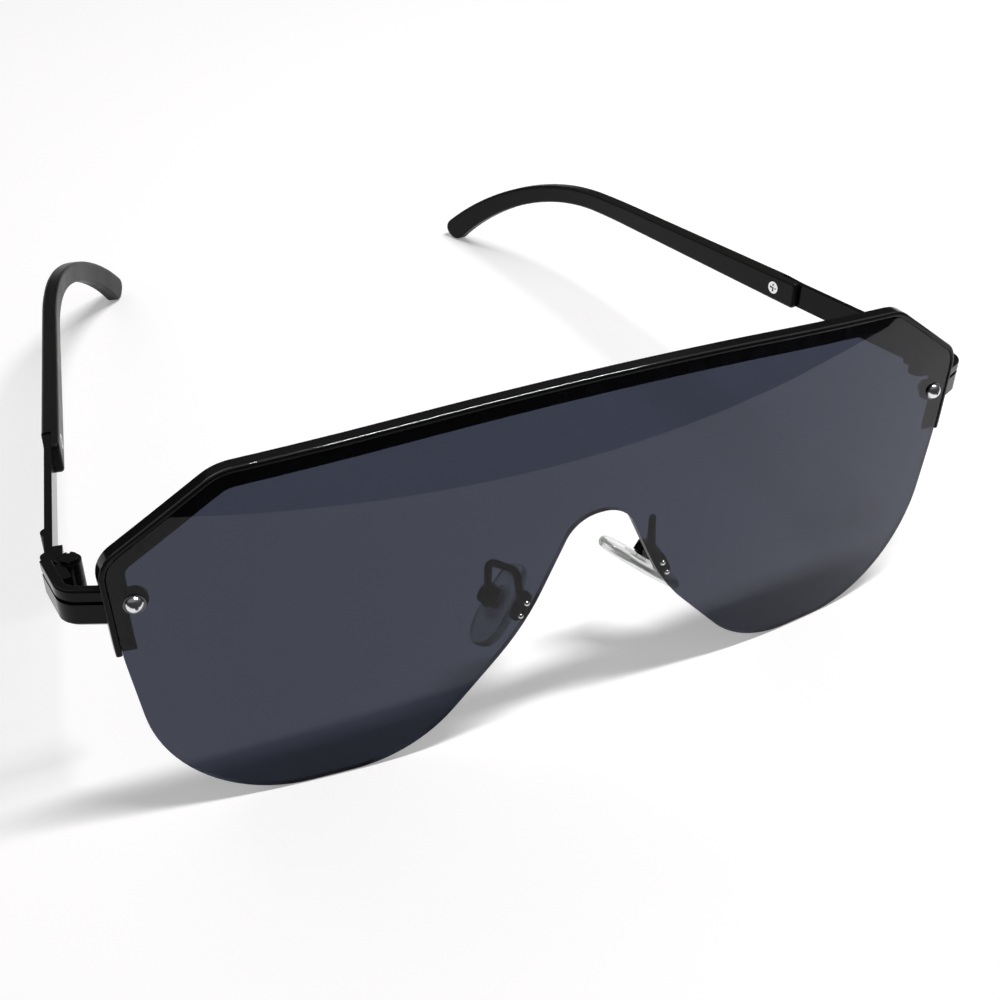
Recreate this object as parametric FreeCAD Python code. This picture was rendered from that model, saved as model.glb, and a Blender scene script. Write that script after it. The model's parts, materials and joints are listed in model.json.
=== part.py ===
import FreeCAD, Part
import math
import os

# Shield sunglasses, drawn as worn: +X is the wearer's left, the front faces -Y and +Z is up.
# The worn frame starts on the front of the lens, in the middle, level with the bottom of the lobes.
# Lengths are in millimetres and angles in degrees. The finished set is then laid on a table, which
# the two lobes and the two temple tips touch, with the origin under the middle of the set.

Vector = FreeCAD.Vector
Z_UP = Vector(0, 0, 1)

# Lens
lens_width = 139.6
lens_height = 59.95
lens_thickness = 1.3
front_curve_radius = 434.0
brow_crown_radius = 390.0
brow_corner_radius = 7.0
temple_corner_radius = 4.4
side_bend_radius = 60.0
outer_lobe_radius = 22.0
inner_lobe_radius = 22.0
nose_flare_radius = 40.0
nose_shoulder_radius = 6.0

# Corners of the half outline, as shares of the half width and of the height
crown_shares = (0.0, 1.0)
brow_corner_shares = (0.775, 0.931)
temple_corner_shares = (1.0, 0.747)
side_bend_shares = (0.994, 0.5)
outer_lobe_shares = (0.943, 0.0)
inner_lobe_shares = (0.434, 0.0)
nose_flare_shares = (0.175, 0.324)
nose_shoulder_shares = (0.0593, 0.6125)

# Brow frame
lip_width = 0.9
lip_proud = 0.15
lip_round = 0.3
flange_width = 2.6
flange_thickness = 0.65
side_arm_drop = 14.3
side_arm_flange_width = 2.1
lens_edge_gap = 0.05
tab_radius = 1.9

# Lens screws, with a bush in the lens and a nut behind the frame
lens_screw_drop = 6.2
lens_screw_inset = 3.0
lens_screw_diameter = 1.2
lens_screw_head_diameter = 3.0
lens_screw_rim_height = 0.15
lens_screw_dome_diameter = 2.7
lens_screw_head_rise = 1.0
lens_bush_wall = 0.4
lens_nut_diameter = 2.6
lens_nut_height = 1.0
seat_gap = 0.01

# End pieces
end_piece_reach = 4.9
end_piece_height = 6.0
end_piece_wall = 1.5
end_piece_setback = 0.5
end_piece_sweep = 24.0
end_piece_flare = 6.0
end_piece_corner_radius = 3.4
end_piece_low_chamfer = 0.7
end_piece_top_round = 0.3
groove_depth = 0.35
groove_low_share = 0.63
groove_high_share = 0.74
hinge_drop = 6.6
hinge_setback = 7.0

# Hinges
knuckle_radius = 1.6
knuckle_wall_gap = 0.5
hinge_height = 4.6
middle_knuckle_height = 1.8
knuckle_end_gap = 0.06
knuckle_relief = 0.12
hinge_screw_diameter = 1.4
hinge_clearance = 0.04
hinge_head_diameter = 2.4
hinge_head_height = 0.5
leaf_thickness = 1.3
leaf_length = 3.8
seam_gap = 0.2

# Screw slots, the same in every small screw
slot_width = 0.4
slot_depth = 0.25

# Temple bars
temple_toe_in = 9.9
temple_slope = 0.0
bar_thickness = 1.1
bar_height = 4.6
ridge_radius = 1.1
ridge_rise = 0.55
ridge_first = 1.6
ridge_spacing = 5.8
lap_start = 30.2
lap_length = 4.4
core_length = 24.0
core_height = 2.6

# Temple sleeves
sleeve_front_height = 5.2
sleeve_neck_height = 3.4
sleeve_tip_height = 5.0
sleeve_inner_wall = 1.2
sleeve_outer_wall = 0.4
sleeve_tip_thickness = 2.5
sleeve_front_round = 0.8
sleeve_edge_round = 0.6
ear_bend_at = 113.5
ear_bend_angle = 46.0
ear_bend_radius = 60.0
ear_tail_length = 26.2
tip_corner_radius = 2.3
inward_bend_at = 102.7
inward_bend_angle = 21.0
inward_bend_radius = 122.0
sleeve_screw_at = 35.6
sleeve_screw_diameter = 1.2
sleeve_screw_head_diameter = 2.4
sleeve_screw_head_height = 0.6
sleeve_screw_grip_share = 0.8

# Nose pad plates and pins
pad_plate_length = 5.0
pad_plate_width = 2.2
pad_plate_thickness = 0.8
pad_plate_share = 0.14
pad_plate_inset = 1.4
pin_diameter = 0.9
pin_spacing = 2.3
pin_proud = 0.3
pin_hole_gap = 0.03

# Nose pads, measured from their plates
pad_setback = 6.8
pad_drop = 3.5
pad_towards_nose = -0.8
pad_front_angle = 54.0
pad_splay_angle = -6.0
pad_lean_angle = 36.0
pad_length = 14.8
pad_width = 7.2
pad_top_width = 6.2
pad_thickness = 2.0
pad_corner_radius = 3.0
pad_edge_round = 0.8
insert_length = 6.0
insert_width = 3.0
insert_thickness = 0.7

# Pad boxes, stems, screws and arms
stem_width = 1.6
stem_thickness = 1.1
stem_gap = 0.1
box_diameter = 3.6
box_across_flats = 3.3
box_depth = 2.3
box_pad_gap = 0.5
pad_screw_depth = 0.85
pad_screw_diameter = 0.8
pad_screw_clearance = 0.04
pad_screw_head_diameter = 1.5
pad_screw_head_height = 0.4
arm_diameter = 1.2
arm_bend_radius = 1.4
arm_rise = 3.4
arm_reach = 1.8
arm_lean = 0.6
arm_foot_share = 0.28

# One overrun serves every cut
overrun = 2.0
shortest_edge = 0.0001
levelling_passes = 5

# Places that follow from the sizes above
half_lens = lens_width / 2
frame_side = half_lens + lip_width
temple_corner_height = temple_corner_shares[1] * lens_height
lip_end_height = temple_corner_height - side_arm_drop
lens_screw_height = temple_corner_height - lens_screw_drop
hinge_level = temple_corner_height - hinge_drop
wall_face = knuckle_radius + knuckle_wall_gap
bar_outer = wall_face + bar_thickness
end_piece_outer = wall_face + end_piece_wall
sleeve_outer = bar_outer + sleeve_outer_wall
sleeve_inner = sleeve_inner_wall - wall_face
lap_end = lap_start + lap_length


def front_depth(x):
    """How far the front of the lens has curved back at the distance x from the middle."""
    return front_curve_radius - math.sqrt(front_curve_radius ** 2 - x ** 2)


def direction(angle):
    """The plane direction at an angle from the first axis, as (first, second)."""
    return math.cos(math.radians(angle)), math.sin(math.radians(angle))


def rounded_path(points, radii, closed):
    """A wire of lines and tangent arcs through points, each corner rounded to its radius."""
    count = len(points)
    legs = [points[(i + 1) % count] - points[i] for i in range(count)]
    turns = [legs[i - 1].getAngle(legs[i]) for i in range(count)]
    if not closed:
        turns[0] = 0.0
        turns[-1] = 0.0
    cuts = [radii[i] * math.tan(turns[i] / 2) for i in range(count)]
    # A corner round is limited by the two legs that it joins
    room = [legs[i].Length / max(cuts[i] + cuts[(i + 1) % count], legs[i].Length) for i in range(count)]
    cuts = [cuts[i] * min(room[i], room[i - 1]) for i in range(count)]
    along = [Vector(leg).normalize() for leg in legs]
    starts = [points[i] - along[i - 1] * cuts[i] for i in range(count)]
    ends = [points[i] + along[i] * cuts[i] for i in range(count)]
    edges = []
    for i in range(count):
        if cuts[i] > shortest_edge:
            inwards = Vector(along[i] - along[i - 1]).normalize()
            radius = cuts[i] / math.tan(turns[i] / 2)
            middle = points[i] + inwards * (radius / math.cos(turns[i] / 2) - radius)
            edges.append(Part.Arc(starts[i], middle, ends[i]).toShape())
        following = starts[(i + 1) % count]
        last_of_open = not closed and i == count - 1
        if not last_of_open and (following - ends[i]).Length > shortest_edge:
            edges.append(Part.LineSegment(ends[i], following).toShape())
    return Part.Wire(edges)


def prism(corners, at, sweep):
    """The outline of (u, v, radius) corners, placed by at(u, v) and swept along a vector."""
    points = [at(u, v) for u, v, radius in corners]
    radii = [radius for u, v, radius in corners]
    return Part.Face(rounded_path(points, radii, True)).extrude(sweep)


def cylinder(radius, start, end):
    """A round bar from one point to another."""
    axis = end - start
    return Part.makeCylinder(radius, axis.Length, start, axis)


def block(low, high):
    """A box between two opposite corners."""
    size = high - low
    return Part.makeBox(size.x, size.y, size.z, low)


def placed(shape, placement):
    """A copy of a shape, carried from its own frame to the place given."""
    copy = shape.copy()
    copy.Placement = placement.multiply(copy.Placement)
    return copy


def grown(corners, distance):
    """Clockwise corners moved outwards by a distance, with their rounds kept concentric."""
    count = len(corners)
    result = []
    for i in range(count):
        before, here, after = corners[i - 1], corners[i], corners[(i + 1) % count]
        first = Vector(here[0] - before[0], here[1] - before[1], 0).normalize()
        second = Vector(after[0] - here[0], after[1] - here[1], 0).normalize()
        first_out = Vector(-first.y, first.x, 0)
        second_out = Vector(-second.y, second.x, 0)
        move = (first_out + second_out) * (distance / (1 + first_out.dot(second_out)))
        bulges = first.cross(second).z < 0
        radius = here[2] + distance if bulges else here[2] - distance
        result.append((here[0] + move.x, here[1] + move.y, max(radius, 0)))
    return result


def lens_corners():
    """The lens outline from the front, clockwise from the crown, as (x, z, radius)."""
    shares = (crown_shares, brow_corner_shares, temple_corner_shares, side_bend_shares,
              outer_lobe_shares, inner_lobe_shares, nose_flare_shares, nose_shoulder_shares)
    radii = (brow_crown_radius, brow_corner_radius, temple_corner_radius, side_bend_radius,
             outer_lobe_radius, inner_lobe_radius, nose_flare_radius, nose_shoulder_radius)
    half = [(x * half_lens, z * lens_height, radius) for (x, z), radius in zip(shares, radii)]
    other = [(-x, z, radius) for x, z, radius in reversed(half[1:])]
    return half + other


def front_prism(distance):
    """Everything behind the lens outline grown by a distance, as deep as the frame is."""
    depth = front_depth(frame_side) + lens_thickness + flange_thickness + overrun
    start = -lip_proud - overrun
    outline = grown(lens_corners(), distance)
    return prism(outline, lambda x, z: Vector(x, start, z), Vector(0, depth - start, 0))


def curved_layer(front, back):
    """The layer of the front curve from one depth to another, measured from the front of the lens."""
    low = Vector(0, front_curve_radius, -lip_width - overrun)
    tall = Z_UP * (lens_height + 2 * (lip_width + overrun))
    return cylinder(front_curve_radius - front, low, low + tall).cut(
        cylinder(front_curve_radius - back, low, low + tall))


def front_place(x, z):
    """The frame that stands on the front of the lens: X outwards along it, Y straight back, Z up."""
    lean = math.asin(x / front_curve_radius)
    outwards = Vector(math.cos(lean), math.sin(lean), 0)
    back = Vector(-math.sin(lean), math.cos(lean), 0)
    turn = FreeCAD.Rotation(outwards, back, Z_UP, "ZXY")
    return FreeCAD.Placement(Vector(x, front_depth(x), z), turn)


def through_front(radius, start, end):
    """A round bar square to the front, between two depths."""
    return cylinder(radius, Vector(0, start, 0), Vector(0, end, 0))


def lens_screw_place():
    """Where a lens screw goes in."""
    return front_place(half_lens - lens_screw_inset, lens_screw_height)


def pad_edge():
    """The straight side of the nose gap: its lower corner and the direction up it, seen from the front."""
    low = Vector(nose_flare_shares[0] * half_lens, 0, nose_flare_shares[1] * lens_height)
    high = Vector(nose_shoulder_shares[0] * half_lens, 0, nose_shoulder_shares[1] * lens_height)
    return low, high - low


def pad_plate_place():
    """Where a pad plate is pinned on: beside the nose gap, with Z up along the gap's side."""
    low, side = pad_edge()
    up = Vector(side).normalize()
    into_lens = Vector(up.z, 0, -up.x)
    centre = low + side * pad_plate_share + into_lens * pad_plate_inset
    spot = front_place(centre.x, centre.z)
    lean = math.degrees(math.atan2(-up.x, up.z))
    return spot.multiply(FreeCAD.Placement(Vector(), FreeCAD.Rotation(Vector(0, 1, 0), -lean)))


def pin_spots():
    """The heights of the two pins on their plate."""
    return -pin_spacing / 2, pin_spacing / 2


def both_sides(shape):
    """A shape on the wearer's left with its mirror image on the right."""
    return [shape, shape.mirror(Vector(), Vector(1, 0, 0))]


def make_lens():
    """The one-piece tinted shield, with holes for its screws and for the pins of the pad plates."""
    lens = front_prism(0).common(curved_layer(0, lens_thickness))
    screw_hole = through_front(lens_screw_diameter / 2 + lens_bush_wall, -overrun, lens_thickness + overrun)
    holes = [placed(screw_hole, lens_screw_place())]
    pin_hole = through_front(pin_diameter / 2 + pin_hole_gap, -overrun, lens_thickness + overrun)
    for height in pin_spots():
        holes.append(placed(pin_hole.translated(Vector(0, 0, height)), pad_plate_place()))
    for hole in holes:
        for cutter in both_sides(hole):
            lens = lens.cut(cutter)
    return lens


def make_frame():
    """The brow frame: a lip round the lens edge, a flange behind the lens and a tab for each screw."""
    back = lens_thickness + flange_thickness
    frame = front_prism(lip_width).common(curved_layer(-lip_proud, back))
    seat = front_prism(lens_edge_gap).common(curved_layer(-lip_proud - overrun, lens_thickness))
    frame = frame.cut(seat).cut(front_prism(-flange_width))
    below = Vector(-frame_side - overrun, -lip_proud - overrun, -lip_width - overrun)
    lip_end = Vector(frame_side + overrun, front_depth(frame_side) + back + overrun, lip_end_height)
    frame = frame.cut(block(below, lip_end))
    # Below the lens screws the flange is narrower
    screw_level = Vector(lip_end.x, lip_end.y, lens_screw_height)
    frame = frame.cut(front_prism(-side_arm_flange_width).common(block(below, screw_level)))
    over_nose_height = nose_shoulder_shares[1] * lens_height + lip_width + overrun
    over_nose = Vector(half_lens / 2, lip_end.y, over_nose_height)
    frame = frame.cut(block(Vector(-over_nose.x, below.y, below.z), over_nose))
    front_edges = [edge for edge in frame.Edges if on_front_rim(edge)]
    frame = frame.makeFillet(min(lip_round, lip_width / 3), front_edges)
    tab = placed(through_front(tab_radius, 0, back + overrun), lens_screw_place())
    hole = placed(through_front(lens_screw_diameter / 2, -overrun, back + overrun), lens_screw_place())
    layer = curved_layer(lens_thickness, back)
    for piece in both_sides(tab.common(layer).common(front_prism(lip_width / 2))):
        frame = frame.fuse(piece)
    for piece in both_sides(hole):
        frame = frame.cut(piece)
    return frame.removeSplitter()


def on_front_rim(edge):
    """True for the long edges of the lip's front face."""
    middle = edge.valueAt((edge.FirstParameter + edge.LastParameter) / 2)
    from_axis = math.hypot(middle.x, middle.y - front_curve_radius)
    on_front = abs(from_axis - front_curve_radius - lip_proud) < shortest_edge
    return on_front and middle.z > lip_end_height + shortest_edge


def front_dome(diameter, base, rise):
    """A round cap that rises forwards from a base level."""
    foot = diameter / 2
    ball_radius = (foot ** 2 + rise ** 2) / (2 * rise)
    top = base - rise
    ball = Part.makeSphere(ball_radius, Vector(0, top + ball_radius, 0))
    return ball.common(through_front(foot, top, base))


def make_lens_screw():
    """A screw with a domed head on a thin rim, through the bush, the frame's tab and the nut."""
    dome = front_dome(lens_screw_dome_diameter, -lens_screw_rim_height, lens_screw_head_rise)
    rim = through_front(lens_screw_head_diameter / 2, -lens_screw_rim_height, 0)
    length = lens_thickness + flange_thickness + seat_gap + lens_nut_height
    screw = dome.fuse(rim).fuse(through_front(lens_screw_diameter / 2, 0, length))
    return placed(screw.removeSplitter(), lens_screw_place())


def make_lens_bush():
    """The soft bush between the screw and the lens."""
    outer = through_front(lens_screw_diameter / 2 + lens_bush_wall, 0, lens_thickness)
    return placed(outer.cut(through_front(lens_screw_diameter / 2, 0, lens_thickness)), lens_screw_place())


def make_lens_nut():
    """The six-sided nut behind the frame's tab."""
    start = lens_thickness + flange_thickness + seat_gap
    corners = []
    for side in range(6):
        across, up = direction(-60 * side)
        corners.append((across * lens_nut_diameter / 2, up * lens_nut_diameter / 2, 0))
    nut = prism(corners, lambda across, up: Vector(across, start, up), Vector(0, lens_nut_height, 0))
    bore = through_front(lens_screw_diameter / 2, start - overrun, start + lens_nut_height + overrun)
    return placed(nut.cut(bore), lens_screw_place())


def end_piece_corner(inset):
    """The outer corner of an end piece in plan, and the way its front arm runs, moved in by an inset."""
    out, back = direction(end_piece_sweep)
    start = Vector(frame_side, front_depth(frame_side) + end_piece_setback, 0)
    arm = Vector(out, back, 0)
    outwards = end_piece_outwards()
    outer = start + arm * (end_piece_reach / out) - outwards * inset
    # The inset arm line and the inset side line meet at the inset corner
    start = start + Vector(-back, out, 0) * inset
    reach = (outer - start).dot(outwards) / arm.dot(outwards)
    return start + arm * reach, start, arm


def temple_axis():
    """The way a temple runs back from its hinge, seen from above."""
    back, inwards = direction(temple_toe_in)
    return Vector(-inwards, back, 0)


def end_piece_axis():
    """The way an end piece's side runs back to the hinge, seen from above."""
    back, outwards = direction(end_piece_flare)
    return Vector(outwards, back, 0)


def end_piece_outwards():
    """The way that an end piece's side faces, seen from above."""
    along = end_piece_axis()
    return Vector(along.y, -along.x, 0)


def hinge_point():
    """The middle of the hinge axis."""
    corner = end_piece_corner(0)[0]
    side = end_piece_axis() * hinge_setback - end_piece_outwards() * end_piece_outer
    return corner + side + Z_UP * hinge_level


def hinge_frame(along):
    """A frame on the hinge axis: X back in the direction given, Y inwards, Z up."""
    turn = FreeCAD.Rotation(along, Vector(-along.y, along.x, 0), Z_UP, "ZXY")
    return FreeCAD.Placement(hinge_point(), turn)


def temple_place():
    """The temple's own frame, on the hinge: X back along the temple, Y inwards, Z up."""
    return hinge_frame(temple_axis())


def seam_point(distance):
    """Where the seam in front of the temple cuts a line along the end piece, at a distance from the hinge."""
    across = end_piece_outwards() * distance
    back = temple_axis()
    along = end_piece_axis()
    return hinge_point() + across - along * ((seam_gap / 2 + across.dot(back)) / along.dot(back))


def end_piece_layer(inset, low, high):
    """A slice of an end piece, with its outer faces moved inwards by an inset."""
    corner, start, arm = end_piece_corner(inset)
    inner_corner, inner_start, arm = end_piece_corner(end_piece_wall)
    root = arm * (lip_width / 2)
    points = [start - root, corner, seam_point(end_piece_outer - inset), seam_point(wall_face),
              inner_corner, inner_start - root]
    inner_round = max(end_piece_corner_radius - end_piece_wall, 0)
    radii = [0, end_piece_corner_radius - inset, 0, 0, inner_round, 0]
    corners = [(point.x, point.y, radius) for point, radius in zip(points, radii)]
    return prism(corners, lambda x, y: Vector(x, y, low), Z_UP * (high - low))


def make_end_piece():
    """The end piece: an angle from the frame's side to the hinge, with a groove between two ridges."""
    low = hinge_level - end_piece_height / 2
    high = low + end_piece_height
    groove_low = low + groove_low_share * end_piece_height
    groove_high = low + groove_high_share * end_piece_height
    lower = end_piece_layer(0, low, groove_low)
    lower = lower.makeChamfer(end_piece_low_chamfer, outer_edges(lower, low))
    upper = end_piece_layer(0, groove_high, high)
    upper = upper.makeFillet(end_piece_top_round, outer_edges(upper, high))
    piece = lower.fuse(end_piece_layer(groove_depth, groove_low, groove_high)).fuse(upper)
    return piece.removeSplitter().cut(front_prism(lip_width))


def outer_edges(layer, level):
    """The edges of an end piece's outer faces at one height."""
    corner, start, arm = end_piece_corner(0)
    outwards = end_piece_outwards()
    forwards = Vector(arm.y, -arm.x, 0)
    chosen = []
    for edge in layer.Edges:
        middle = edge.valueAt((edge.FirstParameter + edge.LastParameter) / 2)
        level_edge = all(abs(vertex.Z - level) < shortest_edge for vertex in edge.Vertexes)
        from_corner = middle - corner
        on_side = abs(from_corner.dot(outwards)) < shortest_edge
        on_front = abs(from_corner.dot(forwards)) < shortest_edge
        on_round = edge.Curve.TypeId == "Part::GeomCircle" and edge.Curve.Radius > end_piece_wall
        if level_edge and (on_side or on_front or on_round):
            chosen.append(edge)
    return chosen


def upright(radius, low, high):
    """A round bar on the hinge axis between two heights."""
    return cylinder(radius, Vector(0, 0, low), Vector(0, 0, high))


def knuckle_levels():
    """The heights of the hinge's ends and of the ends of its middle knuckle."""
    return -hinge_height / 2, -middle_knuckle_height / 2, middle_knuckle_height / 2, hinge_height / 2


def leaf_plate(start, end):
    """A hinge leaf's plate between two distances along the temple."""
    low, middle_low, middle_high, high = knuckle_levels()
    return block(Vector(start, -wall_face, low), Vector(end, leaf_thickness - wall_face, high))


def make_front_leaf():
    """The hinge leaf on the end piece, with the top and bottom knuckles."""
    low, middle_low, middle_high, high = knuckle_levels()
    room_low = middle_low - knuckle_end_gap
    room_high = middle_high + knuckle_end_gap
    room = upright(knuckle_radius + knuckle_relief, room_low, room_high)
    leaf = leaf_plate(-leaf_length, -seam_gap / 2).cut(room)
    leaf = leaf.fuse(upright(knuckle_radius, low, room_low)).fuse(upright(knuckle_radius, room_high, high))
    bore = upright(hinge_screw_diameter / 2, low - overrun, high + overrun)
    return placed(leaf.removeSplitter().cut(bore), hinge_frame(end_piece_axis()))


def make_rear_leaf():
    """The hinge leaf on the temple bar, with the middle knuckle, which turns on the screw."""
    low, middle_low, middle_high, high = knuckle_levels()
    leaf = leaf_plate(seam_gap / 2, leaf_length)
    relief = knuckle_radius + knuckle_relief
    leaf = leaf.cut(upright(relief, low - overrun, middle_low))
    leaf = leaf.cut(upright(relief, middle_high, high + overrun))
    leaf = leaf.fuse(upright(knuckle_radius, middle_low, middle_high))
    bore = upright(hinge_screw_diameter / 2 + hinge_clearance, low - overrun, high + overrun)
    return placed(leaf.removeSplitter().cut(bore), temple_place())


def make_hinge_screw():
    """The slotted hinge screw, which the front leaf holds."""
    low, middle_low, middle_high, high = knuckle_levels()
    top = high + hinge_head_height
    screw = upright(hinge_screw_diameter / 2, low, high).fuse(upright(hinge_head_diameter / 2, high, top))
    slot = block(Vector(-hinge_head_diameter, -slot_width / 2, top - slot_depth),
                 Vector(hinge_head_diameter, slot_width / 2, top + overrun))
    return placed(screw.cut(slot), temple_place())


def temple_drop(along):
    """The height of a temple's middle line at a distance behind the hinge, before the ear bend."""
    return -along * math.tan(math.radians(temple_slope))


def side_profile(corners):
    """A temple profile of (along, height, radius) corners, as wide as anything on the temple."""
    width = sleeve_outer + overrun
    reach = width + inward_bend_radius
    return prism(corners, lambda along, height: Vector(along, -width, height), Vector(0, reach, 0))


def band(start, end, height):
    """The straight part of a temple's side profile, between two distances."""
    return [(start, temple_drop(start) + height / 2, 0), (end, temple_drop(end) + height / 2, 0),
            (end, temple_drop(end) - height / 2, 0), (start, temple_drop(start) - height / 2, 0)]


def make_bar_shape():
    """The temple bar in the temple's frame: a flat strip with two ridges, a lap and a narrow core."""
    low = -sleeve_front_height - overrun + temple_drop(lap_end)
    rise = Z_UP * (sleeve_front_height + overrun - low)
    start = seam_gap / 2
    plan = [(start, -bar_outer, 0), (lap_start, -bar_outer, 0), (lap_end, -sleeve_outer, 0),
            (lap_end, -wall_face, 0), (start, -wall_face, 0)]
    strip = prism(plan, lambda along, inwards: Vector(along, inwards, low), rise)
    for number in range(2):
        spot = Vector(ridge_first + number * ridge_spacing, ridge_radius - ridge_rise - bar_outer, low)
        ridge = cylinder(ridge_radius, spot, spot + rise)
        inner_half = block(Vector(spot.x - 2 * ridge_radius, -wall_face, low),
                           Vector(spot.x + 2 * ridge_radius, 2 * ridge_radius, low + rise.z))
        strip = strip.fuse(ridge.cut(inner_half))
    strip = strip.removeSplitter().common(side_profile(band(start, lap_end, bar_height)))
    core_side = side_profile(band(lap_end, lap_end + core_length, core_height))
    core_end = Vector(lap_end + core_length, -wall_face, low + rise.z)
    core_space = block(Vector(lap_end, -bar_outer, low * 2), core_end)
    return strip.fuse(core_side.common(core_space))


def sleeve_screw_place():
    """The sleeve screw's frame: Z outwards from the sleeve's inner face."""
    spot = Vector(sleeve_screw_at, sleeve_inner, temple_drop(sleeve_screw_at))
    return FreeCAD.Placement(spot, FreeCAD.Rotation(Vector(1, 0, 0), 90))


def sleeve_screw_hole():
    """The stepped hole that the sleeve screw fills."""
    head = upright(sleeve_screw_head_diameter / 2, 0, sleeve_screw_head_height)
    shank_length = sleeve_inner_wall + bar_thickness * sleeve_screw_grip_share
    shank = upright(sleeve_screw_diameter / 2, 0, shank_length)
    return placed(head.fuse(shank).removeSplitter(), sleeve_screw_place())


def make_temple_bar():
    """The temple bar, with the hole for the sleeve screw."""
    return placed(make_bar_shape().cut(sleeve_screw_hole()), temple_place())


def sleeve_side():
    """The sleeve's side profile: straight, then bent down behind the ear to a wider tip."""
    bend = Vector(ear_bend_at, temple_drop(ear_bend_at), 0)
    tail = Vector(*direction(-temple_slope - ear_bend_angle), 0)
    tip = bend + tail * ear_tail_length
    bend_up = Vector(*direction(90 - temple_slope - ear_bend_angle / 2), 0)
    neck = bend_up * (sleeve_neck_height / 2 / math.cos(math.radians(ear_bend_angle / 2)))
    tip_up = Vector(-tail.y, tail.x, 0) * (sleeve_tip_height / 2)
    front = Vector(lap_start, temple_drop(lap_start), 0)
    front_up = Vector(0, sleeve_front_height / 2, 0)
    points = [front + front_up, bend + neck, tip + tip_up, tip - tip_up, bend - neck, front - front_up]
    radii = [sleeve_front_round, ear_bend_radius + sleeve_neck_height / 2, tip_corner_radius,
             tip_corner_radius, ear_bend_radius - sleeve_neck_height / 2, sleeve_front_round]
    return [(point.x, point.y, radius) for point, radius in zip(points, radii)]


def sleeve_plan():
    """The sleeve from above: straight, then bent inwards, thinner at the tip."""
    thickness = sleeve_inner + sleeve_outer
    middle = (sleeve_inner - sleeve_outer) / 2
    bend = Vector(inward_bend_at, middle, 0)
    tail = Vector(*direction(inward_bend_angle), 0)
    tip = bend + tail * (ear_bend_at + ear_tail_length - inward_bend_at)
    bend_in = Vector(*direction(90 + inward_bend_angle / 2), 0)
    bend_half = (thickness + sleeve_tip_thickness) / 4
    bend_side = bend_in * (bend_half / math.cos(math.radians(inward_bend_angle / 2)))
    tip_side = Vector(-tail.y, tail.x, 0) * (sleeve_tip_thickness / 2)
    front = Vector(lap_start, middle, 0)
    front_side = Vector(0, thickness / 2, 0)
    points = [front + front_side, bend + bend_side, tip + tip_side, tip - tip_side, bend - bend_side,
              front - front_side]
    radii = [0, inward_bend_radius - bend_half, 0, 0, inward_bend_radius + bend_half, 0]
    return [(point.x, point.y, radius) for point, radius in zip(points, radii)]


def make_sleeve():
    """The plastic temple sleeve, lapped inside the bar, with the bar's core and the screw let in."""
    low = -ear_tail_length - sleeve_tip_height + temple_drop(ear_bend_at)
    high = sleeve_front_height
    plan = prism(sleeve_plan(), lambda along, inwards: Vector(along, inwards, low), Z_UP * (high - low))
    sleeve = side_profile(sleeve_side()).common(plan)
    sleeve = sleeve.makeFillet(sleeve_edge_round, [edge for edge in sleeve.Edges if is_long_edge(edge)])
    lap_near = Vector(lap_start - overrun, -sleeve_outer - overrun, low)
    lap = block(lap_near, Vector(lap_end, -wall_face, high))
    sleeve = sleeve.cut(lap).cut(make_bar_shape()).cut(sleeve_screw_hole())
    return placed(sleeve, temple_place())


def is_long_edge(edge):
    """True for the edges that run along a sleeve or round its tip, and not across its thickness."""
    first, last = edge.Vertexes[0].Point, edge.Vertexes[-1].Point
    return abs((last - first).y) < abs((last - first).x) + abs((last - first).z)


def make_sleeve_screw():
    """The cross-slotted screw that holds the sleeve to the bar."""
    screw = sleeve_screw_hole()
    reach = sleeve_screw_head_diameter / 2 - slot_width
    for half_length, half_width in ((reach, slot_width / 2), (slot_width / 2, reach)):
        slot_near = Vector(-half_length, -half_width, -overrun)
        slot = block(slot_near, Vector(half_length, half_width, slot_depth))
        screw = screw.cut(placed(slot, sleeve_screw_place()))
    return placed(screw, temple_place())


def make_pad_plate():
    """The plate behind the lens that carries a pad arm."""
    start = lens_thickness + seat_gap
    across, up = pad_plate_width / 2, pad_plate_length / 2
    corners = [(-across, up, across), (across, up, across), (across, -up, across), (-across, -up, across)]
    plate = prism(corners, lambda u, v: Vector(u, start, v), Vector(0, pad_plate_thickness, 0))
    return placed(plate, pad_plate_place())


def make_pad_pins():
    """The two pins through the lens that hold a pad plate, with domed ends in front."""
    shank = through_front(pin_diameter / 2, 0, lens_thickness + seat_gap)
    pin = shank.fuse(front_dome(pin_diameter, 0, pin_proud)).removeSplitter()
    pins = [placed(pin.translated(Vector(0, 0, height)), pad_plate_place()) for height in pin_spots()]
    return Part.makeCompound(pins)


def pad_place():
    """A pad's own frame, in the middle of its back: X up its length, Y across it, Z towards the nose."""
    plate = pad_plate_place().Base
    middle = plate + Vector(-pad_towards_nose, lens_thickness + pad_setback, -pad_drop)
    across_nose, back = direction(pad_splay_angle)
    level, rise = direction(pad_front_angle)
    facing = Vector(-across_nose, back, 0)
    up = facing * rise + Z_UP * level
    nose = facing * level - Z_UP * rise
    upright_pad = FreeCAD.Placement(middle, FreeCAD.Rotation(up, nose.cross(up), nose, "ZXY"))
    # The pad leans back in its own plane
    return upright_pad.multiply(FreeCAD.Placement(Vector(), FreeCAD.Rotation(Z_UP, pad_lean_angle)))


def pad_screw_level():
    """How far behind the pad's back its screw lies."""
    return -box_pad_gap - pad_screw_depth


def across_pad(radius, start, end, level):
    """A round bar across the pad, at a level behind it."""
    return cylinder(radius, Vector(0, start, level), Vector(0, end, level))


def insert_plate():
    """The plate of the insert, let into the back of the pad."""
    along, across = insert_length / 2, insert_width / 2
    corners = [(along, across, across), (along, -across, across),
               (-along, -across, across), (-along, across, across)]
    return prism(corners, lambda u, v: Vector(u, v, 0), Z_UP * insert_thickness)


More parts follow.
